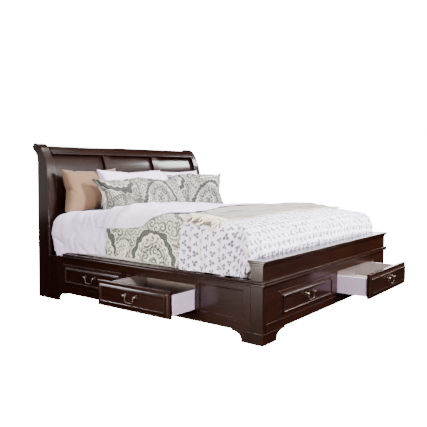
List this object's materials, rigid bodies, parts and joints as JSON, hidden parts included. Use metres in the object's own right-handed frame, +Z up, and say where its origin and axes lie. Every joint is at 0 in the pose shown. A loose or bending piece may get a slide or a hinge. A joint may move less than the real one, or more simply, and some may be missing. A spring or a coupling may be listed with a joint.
{
  "type": "sleigh storage bed",
  "caption": "Made-up sleigh bed with a scrolled headboard, low footboard, raised-panel storage drawers that slide, swinging bail pulls, mattress, bedding and pillows.",
  "frame": {"origin": "on the floor under the middle of the bed, at the foot of the centre support leg", "axes": "+Z up, +Y from the footboard to the headboard, +X to the right seen from the footboard"},
  "size_m": [2.432, 2.7066, 1.357],
  "materials": {
    "dark_wood": "satin, dark cherry stain",
    "plain_wood": "matt",
    "drawer_wood": "matt, pale lining",
    "runner_metal": "zinc plated",
    "aged_brass": "antique",
    "white_cloth": "matt cotton",
    "paisley_cloth": "matt, printed paisley",
    "sprig_cloth": "matt, printed sprigs",
    "taupe_cloth": "soft woven",
    "tan_cloth": "matt cotton"
  },
  "bodies": {
    "bed": {"left_head_post": "dark_wood", "right_head_post": "dark_wood", "crest_rail": "dark_wood", "crest_bead": "dark_wood", "headboard_bottom_rail": "dark_wood", "headboard_stiles": "dark_wood", "headboard_panels": "dark_wood", "left_foot_post": "dark_wood", "right_foot_post": "dark_wood", "footboard_cap": "dark_wood", "footboard_panels": "dark_wood", "waist_mouldings": "dark_wood", "footboard_top_rail": "dark_wood", "footboard_plinth": "dark_wood", "footboard_stiles": "dark_wood", "front_feet": "dark_wood", "left_top_rail": "dark_wood", "left_bottom_rail": "dark_wood", "left_rail_stiles": "dark_wood", "left_side_panel": "dark_wood", "right_top_rail": "dark_wood", "right_bottom_rail": "dark_wood", "right_rail_stiles": "dark_wood", "right_side_panel": "dark_wood", "slats": "plain_wood", "platform_frame": "plain_wood", "drawer_case_panels": "plain_wood", "drawer_runners": "runner_metal", "mattress": "white_cloth", "comforter": "paisley_cloth", "coverlet": "sprig_cloth", "top_sheet": "white_cloth", "throw": "taupe_cloth", "tan_pillow": "tan_cloth", "white_pillows": "white_cloth", "paisley_shams": "paisley_cloth"},
    "left_foot_end_drawer": {"left_foot_end_front": "dark_wood", "left_foot_end_box": "drawer_wood", "left_foot_end_handle_posts": "aged_brass"},
    "left_foot_end_handle": {"left_foot_end_bail": "aged_brass"},
    "left_head_end_drawer": {"left_head_end_front": "dark_wood", "left_head_end_box": "drawer_wood", "left_head_end_handle_posts": "aged_brass"},
    "left_head_end_handle": {"left_head_end_bail": "aged_brass"},
    "right_foot_end_drawer": {"right_foot_end_front": "dark_wood", "right_foot_end_box": "drawer_wood", "right_foot_end_handle_posts": "aged_brass"},
    "right_foot_end_handle": {"right_foot_end_bail": "aged_brass"},
    "right_head_end_drawer": {"right_head_end_front": "dark_wood", "right_head_end_box": "drawer_wood", "right_head_end_handle_posts": "aged_brass"},
    "right_head_end_handle": {"right_head_end_bail": "aged_brass"},
    "footboard_left_drawer": {"footboard_left_front": "dark_wood", "footboard_left_box": "drawer_wood", "footboard_left_handle_posts": "aged_brass"},
    "footboard_left_handle": {"footboard_left_bail": "aged_brass"},
    "footboard_right_drawer": {"footboard_right_front": "dark_wood", "footboard_right_box": "drawer_wood", "footboard_right_handle_posts": "aged_brass"},
    "footboard_right_handle": {"footboard_right_bail": "aged_brass"}
  },
  "joints": [
    {"name": "left_foot_end_slide", "type": "slide", "parent": "bed", "child": "left_foot_end_drawer", "axis": [-1, 0, 0], "range_m": [-0.26, 0.12]},
    {"name": "left_foot_end_handle_swing", "type": "hinge", "parent": "left_foot_end_drawer", "child": "left_foot_end_handle", "pos_m": [-1.338, -0.275, 0.251], "axis": [0, 1, 0], "range_deg": [0, 85]},
    {"name": "left_head_end_slide", "type": "slide", "parent": "bed", "child": "left_head_end_drawer", "axis": [-1, 0, 0], "range_m": [0, 0.38]},
    {"name": "left_head_end_handle_swing", "type": "hinge", "parent": "left_head_end_drawer", "child": "left_head_end_handle", "pos_m": [-1.078, 0.463, 0.251], "axis": [0, 1, 0], "range_deg": [0, 85]},
    {"name": "right_foot_end_slide", "type": "slide", "parent": "bed", "child": "right_foot_end_drawer", "axis": [1, 0, 0], "range_m": [0, 0.38]},
    {"name": "right_foot_end_handle_swing", "type": "hinge", "parent": "right_foot_end_drawer", "child": "right_foot_end_handle", "pos_m": [1.078, -0.275, 0.251], "axis": [0, -1, 0], "range_deg": [0, 85]},
    {"name": "right_head_end_slide", "type": "slide", "parent": "bed", "child": "right_head_end_drawer", "axis": [1, 0, 0], "range_m": [0, 0.38]},
    {"name": "right_head_end_handle_swing", "type": "hinge", "parent": "right_head_end_drawer", "child": "right_head_end_handle", "pos_m": [1.078, 0.463, 0.251], "axis": [0, -1, 0], "range_deg": [0, 85]},
    {"name": "footboard_left_slide", "type": "slide", "parent": "bed", "child": "footboard_left_drawer", "axis": [0, -1, 0], "range_m": [0, 0.34]},
    {"name": "footboard_left_handle_swing", "type": "hinge", "parent": "footboard_left_drawer", "child": "footboard_left_handle", "pos_m": [-0.4475, -1.213, 0.251], "axis": [-1, 0, 0], "range_deg": [0, 85]},
    {"name": "footboard_right_slide", "type": "slide", "parent": "bed", "child": "footboard_right_drawer", "axis": [0, -1, 0], "range_m": [-0.26, 0.08]},
    {"name": "footboard_right_handle_swing", "type": "hinge", "parent": "footboard_right_drawer", "child": "footboard_right_handle", "pos_m": [0.4475, -1.473, 0.251], "axis": [-1, 0, 0], "range_deg": [0, 85]}
  ]
}
